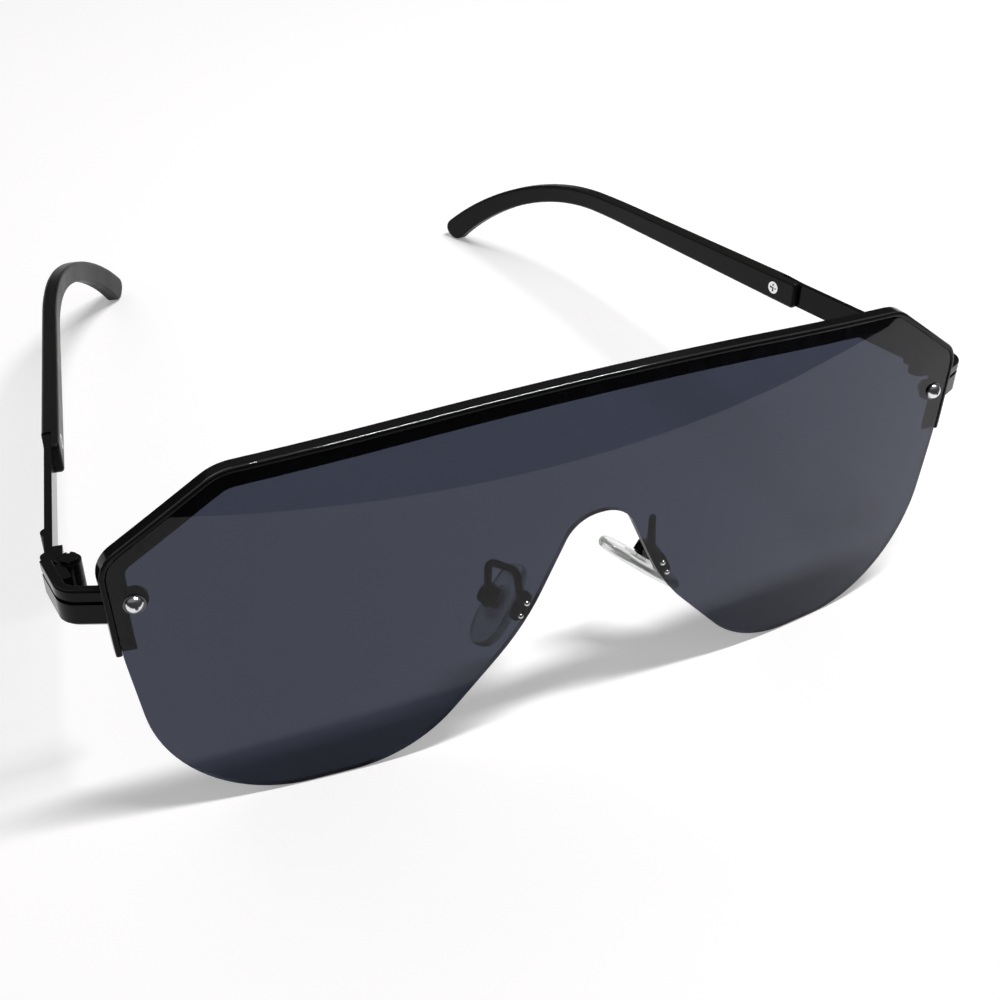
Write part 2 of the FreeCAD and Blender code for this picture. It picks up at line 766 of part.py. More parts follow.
def make_nose_pad():
    """The clear silicone pad, a rounded oval that is narrower at the top."""
    along, top, low = pad_length / 2, pad_top_width / 2, pad_width / 2
    corners = [(along, top, pad_corner_radius), (along, -top, pad_corner_radius),
               (-along, -low, pad_corner_radius), (-along, low, pad_corner_radius)]
    pad = prism(corners, lambda u, v: Vector(u, v, 0), Z_UP * pad_thickness)
    rims = [edge for edge in pad.Edges if abs(edge.Vertexes[0].Z - edge.Vertexes[-1].Z) < shortest_edge]
    return placed(pad.makeFillet(pad_edge_round, rims).cut(insert_plate()), pad_place())


def make_pad_insert():
    """The hard insert of a pad, with the stem that its screw goes through."""
    level = pad_screw_level()
    half = stem_thickness / 2
    stem = block(Vector(-stem_width / 2, -half, level), Vector(stem_width / 2, half, 0))
    stem = stem.fuse(across_pad(stem_width / 2, -half, half, level))
    insert = insert_plate().fuse(stem).removeSplitter()
    bore = across_pad(pad_screw_diameter / 2 + pad_screw_clearance, -overrun, overrun, level)
    return placed(insert.cut(bore), pad_place())


def box_outside():
    """The outside of a pad box in the pad's frame: round, with two flats for the screw."""
    front = -box_pad_gap
    half = box_across_flats / 2
    cup = upright(box_diameter / 2, front - box_depth, front)
    between_flats = block(Vector(-box_diameter, -half, front - box_depth), Vector(box_diameter, half, front))
    return cup.common(between_flats)


def make_pad_box():
    """The pad box: a round cup with two cheeks and a slot for the stem."""
    slot_half = stem_thickness / 2 + stem_gap
    slot_floor = pad_screw_level() - stem_width / 2 - stem_gap
    slot = block(Vector(-box_diameter, -slot_half, slot_floor), Vector(box_diameter, slot_half, overrun))
    bore = across_pad(pad_screw_diameter / 2, -box_diameter, box_diameter, pad_screw_level())
    return placed(box_outside().cut(slot).cut(bore), pad_place())


def make_pad_screw():
    """The screw across the pad box that the stem rocks on."""
    level = pad_screw_level()
    half = box_across_flats / 2
    end = -half - pad_screw_head_height
    screw = across_pad(pad_screw_diameter / 2, -half, half, level)
    screw = screw.fuse(across_pad(pad_screw_head_diameter / 2, end, -half, level))
    slot = block(Vector(-pad_screw_head_diameter, end - overrun, level - slot_width / 2),
                 Vector(pad_screw_head_diameter, end + slot_depth, level + slot_width / 2))
    return placed(screw.cut(slot), pad_place())


def make_pad_arm():
    """The bent wire from the plate, up and over, down to the back of the pad box."""
    plate_middle = lens_thickness + seat_gap + pad_plate_thickness / 2
    foot = pad_plate_place().multVec(Vector(0, plate_middle, pad_plate_length * arm_foot_share))
    back = foot + Vector(0, arm_reach, 0)
    top = back + Vector(0, arm_lean, arm_rise)
    box_back = pad_place().multVec(Vector(0, 0, -box_pad_gap - box_depth + pad_plate_thickness / 2))
    over = Vector(box_back.x, box_back.y, top.z)
    points = [foot, back, top, over, box_back]
    path = rounded_path(points, [arm_bend_radius] * len(points), False)
    section = Part.Wire(Part.Circle(foot, back - foot, arm_diameter / 2).toShape())
    wire = path.makePipeShell([section], True, False)
    return wire.cut(make_pad_plate()).cut(placed(box_outside(), pad_place()))


def left_pieces():
    """Every piece that the wearer's left has, in the worn frame."""
    return {
        "lens_screw": make_lens_screw(),
        "lens_bush": make_lens_bush(),
        "lens_nut": make_lens_nut(),
        "end_piece": make_end_piece(),
        "front_hinge_leaf": make_front_leaf(),
        "hinge_screw": make_hinge_screw(),
        "rear_hinge_leaf": make_rear_leaf(),
        "temple_bar": make_temple_bar(),
        "temple_sleeve": make_sleeve(),
        "sleeve_screw": make_sleeve_screw(),
        "pad_plate": make_pad_plate(),
        "pad_pins": make_pad_pins(),
        "pad_arm": make_pad_arm(),
        "pad_box": make_pad_box(),
        "pad_screw": make_pad_screw(),
        "pad_insert": make_pad_insert(),
        "nose_pad": make_nose_pad(),
    }


def whole_set():
    """All the pieces of the sunglasses in the worn frame, by name."""
    pieces = {"shield_lens": make_lens(), "brow_frame": make_frame()}
    for name, shape in left_pieces().items():
        left, right = both_sides(shape)
        pieces["left_" + name] = left
        pieces["right_" + name] = right
    return pieces


def table_place(pieces):
    """The move that lays the set on a table, on its lobes and temple tips, over the origin."""
    lens, sleeve = pieces["shield_lens"], pieces["left_temple_sleeve"]
    tilt = 0.0
    for _ in range(levelling_passes):
        turn = FreeCAD.Placement(Vector(), FreeCAD.Rotation(Vector(1, 0, 0), -tilt))
        lens_box = placed(lens, turn).optimalBoundingBox()
        sleeve_box = placed(sleeve, turn).optimalBoundingBox()
        tilt += math.degrees(math.atan2(sleeve_box.ZMin - lens_box.ZMin, sleeve_box.YMax - lens_box.YMin))
    turn = FreeCAD.Placement(Vector(), FreeCAD.Rotation(Vector(1, 0, 0), -tilt))
    box = placed(Part.makeCompound(list(pieces.values())), turn).optimalBoundingBox()
    shift = Vector(0, -(box.YMin + box.YMax) / 2, -box.ZMin)
    print("tilt", round(tilt, 3), "size", [round(v, 2) for v in (box.XLength, box.YLength, box.ZLength)])
    return FreeCAD.Placement(shift, turn.Rotation)


def main():
    os.makedirs("parts", exist_ok=True)
    pieces = whole_set()
    on_table = table_place(pieces)
    for name, shape in pieces.items():
        placed(shape, on_table).exportStep(os.path.join("parts", name + ".step"))
    for label, point, axis in (("left hinge", hinge_point(), Z_UP),
                               ("left pad screw", pad_place().multVec(Vector(0, 0, pad_screw_level())),
                                pad_place().Rotation.multVec(Vector(0, 1, 0)))):
        spot = on_table.multVec(point)
        way = on_table.Rotation.multVec(axis)
        print(label, [round(v, 4) for v in spot], [round(v, 6) for v in way])


main()
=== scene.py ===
import json

import bmesh
import bpy
import numpy as np
from mathutils import Matrix


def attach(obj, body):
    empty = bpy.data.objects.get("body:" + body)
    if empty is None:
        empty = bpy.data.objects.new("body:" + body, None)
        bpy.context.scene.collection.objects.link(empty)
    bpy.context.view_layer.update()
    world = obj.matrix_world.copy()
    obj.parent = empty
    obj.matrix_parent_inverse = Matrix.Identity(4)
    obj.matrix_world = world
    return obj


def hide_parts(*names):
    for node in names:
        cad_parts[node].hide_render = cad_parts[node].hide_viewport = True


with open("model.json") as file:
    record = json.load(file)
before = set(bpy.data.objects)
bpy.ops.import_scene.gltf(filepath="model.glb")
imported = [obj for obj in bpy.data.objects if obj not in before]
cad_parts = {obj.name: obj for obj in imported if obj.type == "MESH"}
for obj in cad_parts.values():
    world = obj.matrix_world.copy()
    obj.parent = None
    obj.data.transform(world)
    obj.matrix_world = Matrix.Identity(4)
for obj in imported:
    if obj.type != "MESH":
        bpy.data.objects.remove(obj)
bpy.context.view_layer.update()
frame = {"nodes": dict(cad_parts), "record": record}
nodes = frame["nodes"]
scene = bpy.context.scene
scene.view_settings.view_transform = "Standard"

MM = 0.001
SIDES = (("left", 1.0), ("right", -1.0))
WHITE = (1.0, 1.0, 1.0, 1.0)

# The camera stands in front of the right lobe and looks down on the set
camera_spot = np.array((-83.7, -187.52, 161.0)) * MM
camera_right = np.array((0.89734, -0.43590, 0.06900))
camera_up = np.array((0.23788, 0.60941, 0.75633))
camera_back = np.array((-0.37173, -0.66227, 0.65055))
camera_lens = 46.8
camera_sensor = 36.0
camera_nearest = 5.0 * MM

# A nose pad in its own frame: X up its length, Y across it, Z towards the nose
pad_middle = np.array((13.1529, -63.2019, 18.1811)) * MM
pad_along = np.array((-0.712363, 0.574392, 0.403252))
pad_across = np.array((0.388358, 0.801225, -0.455211))
pad_facing = np.array((-0.584565, -0.167670, -0.793833))
pad_half_length = 7.35 * MM
pad_half_width = 3.32 * MM
pad_taper = 0.22 * MM
pad_squareness = 2.7
pad_thickness = 1.98 * MM
pad_crown = 0.42 * MM
pad_rim_radius = 0.78 * MM
pad_shoulder_share = 0.55
pad_back_ring_shares = (0.35, 0.7)
pad_points_around = 128
pad_rim_points = 9
pad_face_points = 26

# The recess in the back of a pad, which takes the insert
insert_half_length = 3.03 * MM
insert_radius = 1.53 * MM
insert_depth = 0.73 * MM
recess_lip = 0.05 * MM
recess_floor_share = 0.5

# Polish marks and dust: the range that a noise mostly keeps to, and how the marks are laid
noise_range = (0.3, 0.7)
patch_share = 0.7
hair_stretch = 0.06
dust_patch_scale = 220.0

# How deep the fine grain of each kind of surface is
peel_depth = 0.002 * MM
soft_grain_depth = 0.006 * MM
matt_grain_depth = 0.01 * MM

# The way that the front of the set faces
set_front = (0.0, -0.99125, 0.13197)

# The black lacquer and the moulded sleeves
lacquer = dict(colour=(0.004, 0.004, 0.0045, 1.0), smooth=0.09, worn=0.15, specular=0.12,
               peel_scale=1500.0)
moulding = dict(colour=(0.007, 0.007, 0.0065, 1.0), smooth=0.28, worn=0.4, specular=0.13,
                peel_scale=1100.0)

# The brow's coat lies where the surface looks upwards and faces the front within these bounds
coat_facing_low = 0.12
coat_facing_high = 0.96
coat_upward = 0.5
coat_ior = 2.05
coat_roughness = 0.08

# A lens screw's steel is painted dark where it faces the front this squarely, on its flat seat and atop its
# dome: a painted dark reflection
seat_facing = 0.985
painted_dark_reflection = (0.1, 0.1, 0.1, 1.0)

# The lens, and its cut edge, which faces the front less squarely than its two sides
lens_tint = (0.04, 0.045, 0.067, 1.0)
lens_speck = (0.06, 0.065, 0.08, 1.0)
lens_ior = 1.29
lens_edge_facing = 0.8
lens_edge_tint = (0.002, 0.002, 0.003, 1.0)
lens_edge_matt = 0.35

# The floor, and its glow near the set and far from it, which makes it look white where no shadow falls
floor_half = 3.0
floor_drop = 0.02 * MM
floor_pale = (0.88, 0.865, 0.875, 1.0)
floor_glow = (0.24, 0.75)
floor_glow_reach = (0.25, 1.1)

# The sky by the upward part of a direction: white up to the first value and grey from the second
sky_heights = (0.08, 0.25)
sky_grey = (0.21, 0.21, 0.21, 1.0)

# The cards on the floor and the ring of cards round the set, in millimetres
card_level = 0.4
front_card_half = 1500.0
front_card_edge = -158.6
front_card_slant = 0.085
front_card_far = -1800.0
# The card at the lens's foot is a painted shadow: grey that only gloss shows, where the lens's own shadow
# lies in front of it
shadow_card_ends = (-85.0, 70.0)
shadow_card_darkest = (-60.0, 0.0)
shadow_card_grey = 0.2
shadow_card_edge = -88.3
shadow_card_slant = 0.022
shadow_card_curve = 0.00225
shadow_card_fade = 2.0
shadow_card_back = -70.0
shadow_card_points = 32
ring_radius = 700.0
ring_back_height = 300.0
ring_front_rise = 600.0
ring_points = 73


def stadium(angle, half_length, radius):
    """Distance from the middle to a stadium's edge along each angle: a straight side where the
    ray meets one, else the far root of the circle at the end of the stadium."""
    c, s = np.abs(np.cos(angle)), np.abs(np.sin(angle))
    offset = half_length - radius
    side = radius / np.maximum(s, 1e-9)
    end = offset * c + np.sqrt(np.maximum(radius**2 - (offset * s) ** 2, 0.0))
    return np.where(side * c <= offset, side, end)


def pad_edge(angle):
    """Distance from the middle to the pad's edge: a superellipse (|x|/a)^n + (|y|/b)^n = 1 whose
    half width b falls from the low end to the top."""
    c, s = np.cos(angle), np.sin(angle)
    width = pad_half_width - pad_taper * c
    n = pad_squareness
    return ((np.abs(c) / pad_half_length) ** n + (np.abs(s) / width) ** n) ** (-1.0 / n)


def pad_surface(side):
    """A closed pad as a grid of angle by ring. The rings run from the floor of the recess at the back,
    up its wall, out over the flat back, round the rim on a quarter circle and a quarter ellipse, and in
    over the crowned face, whose height falls with the square of the distance from the middle."""
    around = pad_points_around
    angle = np.linspace(0.0, 2.0 * np.pi, around, endpoint=False)
    turn = np.linspace(0.0, np.pi / 2.0, pad_rim_points)
    face = np.linspace(1.0, 0.0, pad_face_points)[1:-1]
    hole = stadium(angle, insert_half_length, insert_radius)
    lip = hole + recess_lip
    edge = pad_edge(angle)
    back_edge = edge - pad_rim_radius
    shoulder = pad_shoulder_share * pad_rim_radius
    face_edge = edge - shoulder
    rim_top = pad_thickness - pad_crown - pad_rim_radius
    rows = [hole * recess_floor_share, hole, hole, lip]
    heights = [insert_depth, insert_depth, recess_lip, 0.0]
    rows += [lip + (back_edge - lip) * share for share in pad_back_ring_shares]
    heights += [0.0 for share in pad_back_ring_shares]
    rows += [back_edge + pad_rim_radius * np.sin(t) for t in turn]
    heights += [pad_rim_radius * (1.0 - np.cos(t)) for t in turn]
    rows += [face_edge + shoulder * np.cos(t) for t in turn[1:]]
    heights += [rim_top + pad_rim_radius * np.sin(t) for t in turn[1:]]
    rows += [face_edge * t for t in face]
    heights += [pad_thickness - pad_crown * t**2 for t in face]
    reach = np.array(rows)
    level = np.array(heights)[:, None] + np.zeros_like(reach)
    local = np.stack([reach * np.cos(angle), reach * np.sin(angle), level], axis=-1).reshape(-1, 3)
    poles = np.array([[0.0, 0.0, insert_depth], [0.0, 0.0, pad_thickness]])
    local = np.vstack([local, poles])
    spots = pad_middle + local @ np.stack([pad_along, pad_across, pad_facing])
    spots[:, 0] *= side
    ring = np.arange(around)
    following = np.roll(ring, -1)
    count = len(rows)
    base = (np.arange(count - 1) * around)[:, None]
    quads = np.stack([base + ring, base + following, base + around + following, base + around + ring],
                     axis=-1)
    first = np.stack([np.full(around, count * around), following, ring], axis=-1)
    last_row = (count - 1) * around
    last = np.stack([np.full(around, count * around + 1), last_row + ring, last_row + following], axis=-1)
    return spots, quads.reshape(-1, 4).tolist() + first.tolist() + last.tolist()


def add_mesh(name, spots, faces):
    """A mesh object at the origin."""
    mesh = bpy.data.meshes.new(name)
    mesh.from_pydata(spots.tolist(), [], faces)
    piece = bpy.data.objects.new(name, mesh)
    scene.collection.objects.link(piece)
    return piece


def smooth_outwards(mesh):
    """Turns a closed mesh's faces outwards and shades them smooth."""
    shell = bmesh.new()
    shell.from_mesh(mesh)
    bmesh.ops.recalc_face_normals(shell, faces=shell.faces)
    shell.to_mesh(mesh)
    shell.free()
    mesh.polygons.foreach_set("use_smooth", np.ones(len(mesh.polygons), bool))


def feed(tree, socket, value):
    """Gives an input socket another node's output or a plain value."""
    if isinstance(value, bpy.types.NodeSocket):
        tree.links.new(value, socket)
    else:
        socket.default_value = value


def socket_group(name, inputs, outputs):
    """An empty node group with named sockets."""
    group = bpy.data.node_groups.new(name, "ShaderNodeTree")
    for label, kind, value in inputs:
        socket = group.interface.new_socket(label, in_out="INPUT", socket_type=kind)
        if value is not None:
            socket.default_value = value
    for label, kind in outputs:
        group.interface.new_socket(label, in_out="OUTPUT", socket_type=kind)
    return group, group.nodes.new("NodeGroupInput"), group.nodes.new("NodeGroupOutput")


def math_node(tree, operation, first, second):
    """A Math node whose inputs are sockets or numbers."""
    node = tree.nodes.new("ShaderNodeMath")
    node.operation = operation
    feed(tree, node.inputs[0], first)
    feed(tree, node.inputs[1], second)
    return node.outputs[0]


def noise_node(tree, vector, scale, detail):
    """A Noise texture on a vector, as a value from 0 to 1."""
    node = tree.nodes.new("ShaderNodeTexNoise")
    feed(tree, node.inputs["Vector"], vector)
    feed(tree, node.inputs["Scale"], scale)
    feed(tree, node.inputs["Detail"], detail)
    return node.outputs["Fac"]


def map_range(tree, value, before, after, curve="LINEAR"):
    """A value carried from one range to another, and kept inside it."""
    node = tree.nodes.new("ShaderNodeMapRange")
    node.interpolation_type = curve
    labels = ("Value", "From Min", "From Max", "To Min", "To Max")
    for label, given in zip(labels, (value, *before, *after)):
        feed(tree, node.inputs[label], given)
    return node.outputs["Result"]


def mix_colour(tree, factor, first, second):
    """A Mix node that goes from one colour to another."""
    node = tree.nodes.new("ShaderNodeMix")
    node.data_type = "RGBA"
    feed(tree, node.inputs["Factor"], factor)
    feed(tree, node.inputs["A"], first)
    feed(tree, node.inputs["B"], second)
    return node.outputs["Result"]


def make_polish_group():
    """Polish: broad wiped patches and fine hairlines between two roughness values, with a faint
    orange peel as height."""
    group, given, result = socket_group(
        "polish",
        [("Vector", "NodeSocketVector", None), ("Patch Scale", "NodeSocketFloat", 160.0),
         ("Peel Scale", "NodeSocketFloat", 1500.0), ("Smooth", "NodeSocketFloat", 0.1),
         ("Worn", "NodeSocketFloat", 0.2)],
        [("Roughness", "NodeSocketFloat"), ("Height", "NodeSocketFloat")])
    patches = noise_node(group, given.outputs["Vector"], given.outputs["Patch Scale"], detail=3.0)
    stretch = group.nodes.new("ShaderNodeMapping")
    stretch.inputs["Scale"].default_value = (1.0, hair_stretch, 1.0)
    group.links.new(given.outputs["Vector"], stretch.inputs["Vector"])
    hairs = noise_node(group, stretch.outputs["Vector"], given.outputs["Peel Scale"], detail=2.0)
    mixed = math_node(group, "ADD", math_node(group, "MULTIPLY", patches, patch_share),
                      math_node(group, "MULTIPLY", hairs, 1.0 - patch_share))
    worn = map_range(group, mixed, noise_range, (given.outputs["Smooth"], given.outputs["Worn"]))
    peel = noise_node(group, given.outputs["Vector"], given.outputs["Peel Scale"], detail=1.0)
    group.links.new(worn, result.inputs["Roughness"])
    group.links.new(peel, result.inputs["Height"])
    return group


def make_dust_group():
    """Dust: small specks in scattered cells, thicker where a broad noise is high, laid over a colour."""
    group, given, result = socket_group(
        "dust",
        [("Vector", "NodeSocketVector", None), ("Colour", "NodeSocketColor", (0.01, 0.01, 0.01, 1.0)),
         ("Speck Colour", "NodeSocketColor", (0.2, 0.2, 0.2, 1.0)),
         ("Speck Scale", "NodeSocketFloat", 900.0), ("Speck Size", "NodeSocketFloat", 0.12),
         ("Amount", "NodeSocketFloat", 0.5)],
        [("Colour", "NodeSocketColor")])
    cells = group.nodes.new("ShaderNodeTexVoronoi")
    group.links.new(given.outputs["Vector"], cells.inputs["Vector"])
    group.links.new(given.outputs["Speck Scale"], cells.inputs["Scale"])
    near = math_node(group, "LESS_THAN", cells.outputs["Distance"], given.outputs["Speck Size"])
    broad = noise_node(group, given.outputs["Vector"], dust_patch_scale, detail=3.0)
    where = map_range(group, broad, noise_range, (0.0, 1.0))
    mask = math_node(group, "MULTIPLY", math_node(group, "MULTIPLY", near, where), given.outputs["Amount"])
    specked = mix_colour(group, mask, given.outputs["Colour"], given.outputs["Speck Colour"])
    group.links.new(specked, result.inputs["Colour"])
    return group


def make_facing_group():
    """Facing: how squarely the surface looks along the front of the set, from 0 to 1."""
    group, given, result = socket_group(
        "facing", [("Vector", "NodeSocketVector", None)], [("Facing", "NodeSocketFloat")])
    along = group.nodes.new("ShaderNodeVectorMath")
    along.operation = "DOT_PRODUCT"
    group.links.new(given.outputs["Vector"], along.inputs[0])
    along.inputs[1].default_value = set_front
    group.links.new(math_node(group, "ABSOLUTE", along.outputs["Value"], 0.0), result.inputs["Facing"])
    return group


polish_group = make_polish_group()
dust_group = make_dust_group()
facing_group = make_facing_group()


def new_material(name):
    """A material with a Principled shader, and its node tree."""
    material = bpy.data.materials.new(name)
    material.use_nodes = True
    return material, material.node_tree


def link_shader(tree, value, label):
    """Links a value to a named socket of a material's Principled shader."""
    tree.links.new(value, tree.nodes["Principled BSDF"].inputs[label])


def set_shader(tree, values):
    """Sets plain values on named sockets of a material's Principled shader."""
    for label, value in values.items():
        tree.nodes["Principled BSDF"].inputs[label].default_value = value


def place_group(tree, group, vector, **values):
    """A node group in a material, with its own values."""
    node = tree.nodes.new("ShaderNodeGroup")
    node.node_tree = group
    tree.links.new(vector, node.inputs["Vector"])
    for label, value in values.items():
        node.inputs[label.replace("_", " ")].default_value = value
    return node


def coordinates(tree, kind):
    """One kind of texture coordinates, such as Object or Normal."""
    return tree.nodes.new("ShaderNodeTexCoord").outputs[kind]


def place_facing(tree):
    """The facing group in a material, on the surface's own normal."""
    return place_group(tree, facing_group, coordinates(tree, "Normal")).outputs["Facing"]


def make_surface(name, polish, dust, depth, strength):
    """A material with polish marks, a little dust and a fine grain of some depth and strength."""
    material, tree = new_material(name)
    place = coordinates(tree, "Object")
    marks = place_group(tree, polish_group, place, **polish)
    specks = place_group(tree, dust_group, place, **dust)
    bump = tree.nodes.new("ShaderNodeBump")
    bump.inputs["Distance"].default_value = depth
    bump.inputs["Strength"].default_value = strength
    tree.links.new(marks.outputs["Height"], bump.inputs["Height"])
    link_shader(tree, specks.outputs["Colour"], "Base Color")
    link_shader(tree, marks.outputs["Roughness"], "Roughness")
    link_shader(tree, bump.outputs["Normal"], "Normal")
    return material


def make_gloss_black(name, colour, smooth, worn, specular, peel_scale):
    """Gloss black lacquer or plastic: polish marks, faint orange peel and a little dust."""
    material = make_surface(
        name,
        polish=dict(Smooth=smooth, Worn=worn, Peel_Scale=peel_scale),
        dust=dict(Colour=colour, Speck_Size=0.06, Amount=0.08),
        depth=peel_depth, strength=0.5)
    set_shader(material.node_tree, {"Specular IOR Level": specular})
    return material


def make_brow_lacquer():
    """The brow's lacquer: as the other lacquer, with a polished coat on the upper rounded edges, where
    the surface turns from the front to the top."""
    material = make_gloss_black("brow_lacquer", **lacquer)
    tree = material.node_tree
    facing = place_facing(tree)
    rounded = math_node(tree, "MULTIPLY", math_node(tree, "GREATER_THAN", facing, coat_facing_low),
                        math_node(tree, "LESS_THAN", facing, coat_facing_high))
    axes = tree.nodes.new("ShaderNodeSeparateXYZ")
    tree.links.new(coordinates(tree, "Normal"), axes.inputs["Vector"])
    upper = math_node(tree, "GREATER_THAN", axes.outputs["Z"], coat_upward)
    link_shader(tree, math_node(tree, "MULTIPLY", rounded, upper), "Coat Weight")
    set_shader(tree, {"Coat IOR": coat_ior, "Coat Roughness": coat_roughness})
    return material


def make_steel(name):
    """Polished steel: slightly uneven grey with fine polishing marks."""
    material = make_surface(
        name,
        polish=dict(Smooth=0.08, Worn=0.2, Peel_Scale=2600.0),
        dust=dict(Colour=(0.76, 0.76, 0.77, 1.0), Speck_Colour=(0.3, 0.29, 0.28, 1.0),
                  Speck_Scale=2400.0, Amount=0.5),
        depth=peel_depth, strength=0.4)
    set_shader(material.node_tree, {"Metallic": 1.0})
    return material


def make_screw_steel():
    """The lens screws' steel: polished, with the flat seat round the dome and a spot on its top painted
    dark as a painted dark reflection.
    """
    material = make_steel("screw_steel")
    tree = material.node_tree
    polished = tree.nodes["Principled BSDF"].inputs["Base Color"].links[0].from_socket
    # Painted dark reflection: where the steel faces the front squarely, its colour is set near black
    seat = math_node(tree, "GREATER_THAN", place_facing(tree), seat_facing)
    link_shader(tree, mix_colour(tree, seat, polished, painted_dark_reflection), "Base Color")
    return material


def make_matt(name, colour, speck, smooth, worn, grain):
    """Matt rubber or card with a fine grain."""
    return make_surface(
        name,
        polish=dict(Smooth=smooth, Worn=worn, Peel_Scale=grain),
        dust=dict(Colour=colour, Speck_Colour=speck, Amount=0.6),
        depth=matt_grain_depth, strength=0.5)


def make_lens():
    """Tinted lens: blue-grey polycarbonate, wiped clean, that reflects as little as a coated lens. Where
    the surface turns away from the lens's front, the cut edge is darker and matt."""
    material, tree = new_material("tinted_lens")
    place = coordinates(tree, "Object")
    marks = place_group(tree, polish_group, place, Smooth=0.0, Worn=0.016, Peel_Scale=900.0,
                        Patch_Scale=60.0)
    specks = place_group(tree, dust_group, place, Colour=lens_tint, Speck_Colour=lens_speck,
                         Speck_Scale=500.0, Speck_Size=0.1, Amount=0.5)
    edge = math_node(tree, "LESS_THAN", place_facing(tree), lens_edge_facing)
    matt = math_node(tree, "MULTIPLY", edge, lens_edge_matt)
    link_shader(tree, mix_colour(tree, edge, specks.outputs["Colour"], lens_edge_tint), "Base Color")
    link_shader(tree, math_node(tree, "ADD", marks.outputs["Roughness"], matt), "Roughness")
    set_shader(tree, {"Transmission Weight": 1.0, "IOR": lens_ior})
    return material


def make_core():
    """The pad's core: cloudy grey plastic that lets some light through."""
    material = make_surface(
        "grey_core",
        polish=dict(Smooth=0.15, Worn=0.3, Peel_Scale=2200.0),
        dust=dict(Colour=(0.84, 0.85, 0.84, 1.0), Speck_Colour=(0.5, 0.5, 0.5, 1.0), Amount=0.5),
        depth=soft_grain_depth, strength=0.4)
    set_shader(material.node_tree, {"Transmission Weight": 0.9, "IOR": 1.45})
    return material


def make_silicone():
    """Clear silicone: faintly cloudy, with soft wiped patches."""
    material = make_surface(
        "clear_silicone",
        polish=dict(Smooth=0.08, Worn=0.2, Peel_Scale=1800.0),
        dust=dict(Colour=(0.9, 0.92, 0.9, 1.0), Speck_Colour=(0.7, 0.7, 0.7, 1.0), Speck_Scale=1600.0,
                  Amount=0.3),
        depth=soft_grain_depth, strength=0.4)
    set_shader(material.node_tree, {"Transmission Weight": 0.88, "IOR": 1.41})
    return material


def make_painted_shadow_grey():
    """Matt card in the greys of its own attribute, which paint the shadow at the lens's foot."""
    material, tree = new_material("painted_shadow_grey")
    greys = tree.nodes.new("ShaderNodeAttribute")
    greys.attribute_name = "grey"
    link_shader(tree, greys.outputs["Fac"], "Base Color")
    set_shader(tree, {"Roughness": 1.0, "Specular IOR Level": 0.0})
    return material


black_lacquer = make_gloss_black("black_lacquer", **lacquer)
black_moulding = make_gloss_black("black_moulding", **moulding)
polished_steel = make_steel("polished_steel")
black_rubber = make_matt("black_rubber", colour=(0.018, 0.018, 0.018, 1.0), speck=(0.08, 0.08, 0.08, 1.0),
                         smooth=0.6, worn=0.8, grain=2600.0)
clear_silicone = make_silicone()
finishes = {"tinted_lens": make_lens(), "black_metal": black_lacquer, "black_plastic": black_moulding,
            "polished_steel": polished_steel, "black_rubber": black_rubber, "grey_plastic": make_core(),
            "clear_silicone": clear_silicone}
for row in frame["record"]["subparts"]:
    mesh = nodes[row["node"]].data
    mesh.materials.clear()
    mesh.materials.append(finishes[row["material_slot"]])
nodes["brow_frame"].data.materials[0] = make_brow_lacquer()

screw_steel = make_screw_steel()
for side, sign in SIDES:
    nodes[side + "_lens_screw"].data.materials[0] = screw_steel
    pad = add_mesh(side + "_silicone_pad", *pad_surface(sign))
    smooth_outwards(pad.data)
    pad.data.materials.append(clear_silicone)
    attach(pad, side + "_pad")
    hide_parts(side + "_nose_pad")


def make_floor_white():
    """Pale matt floor that glows to the camera, gloss and glass, more so with distance."""
    material, tree = new_material("pale_floor")
    tree.nodes.remove(tree.nodes["Principled BSDF"])
    matt = tree.nodes.new("ShaderNodeBsdfDiffuse")
    matt.inputs["Color"].default_value = floor_pale
    rays = tree.nodes.new("ShaderNodeLightPath")
    seen = math_node(tree, "MAXIMUM", rays.outputs["Is Camera Ray"], rays.outputs["Is Glossy Ray"])
    seen = math_node(tree, "MAXIMUM", seen, rays.outputs["Is Transmission Ray"])
    away = tree.nodes.new("ShaderNodeVectorMath")
    away.operation = "LENGTH"
    tree.links.new(coordinates(tree, "Object"), away.inputs[0])
    glow = map_range(tree, away.outputs["Value"], floor_glow_reach, floor_glow, "SMOOTHSTEP")
    fill = tree.nodes.new("ShaderNodeEmission")
    tree.links.new(math_node(tree, "MULTIPLY", seen, glow), fill.inputs["Strength"])
    both = tree.nodes.new("ShaderNodeAddShader")
    tree.links.new(matt.outputs[0], both.inputs[0])
    tree.links.new(fill.outputs[0], both.inputs[1])
    tree.links.new(both.outputs[0], tree.nodes["Material Output"].inputs["Surface"])
    return material


def make_floor():
    """A square floor just under the set."""
    x = floor_half * np.array((-1.0, 1.0, 1.0, -1.0))
    y = floor_half * np.array((-1.0, -1.0, 1.0, 1.0))
    corners = np.stack([x, y, np.full_like(x, -floor_drop)], axis=-1)
    floor = add_mesh("floor", corners, [(0, 1, 2, 3)])
    floor.data.materials.append(make_floor_white())


def make_card(name, spots, faces, material):
    """A card that only gloss shows: the front card and the ring stand as photographer's flags outside the
    picture, and the card at the lens's foot is a painted shadow.
    """
    card = add_mesh(name, spots, faces)
    card.data.materials.append(material)
    card.visible_camera = False
    card.visible_diffuse = False
    card.visible_shadow = False
    card.visible_transmission = False
    return card.data


def strip_faces(count, rows):
    """Quads between rows of points."""
    step = np.arange(count - 1)
    strip = np.stack([step, step + 1, step + 1 + count, step + count], axis=-1)
    return np.concatenate([strip + row * count for row in range(rows - 1)]).tolist()


def make_front_card():
    """A card on the floor in front of the set: its near edge is the line y = edge + slant x."""
    x = np.array((-front_card_half, front_card_half))
    level = np.full_like(x, card_level)
    near = np.stack([x, front_card_edge + front_card_slant * x, level], axis=-1)
    far = np.stack([x, np.full_like(x, front_card_far), level], axis=-1)
    make_card("front_card", np.concatenate([far, near]) * MM, strip_faces(len(x), 2), dark_card)


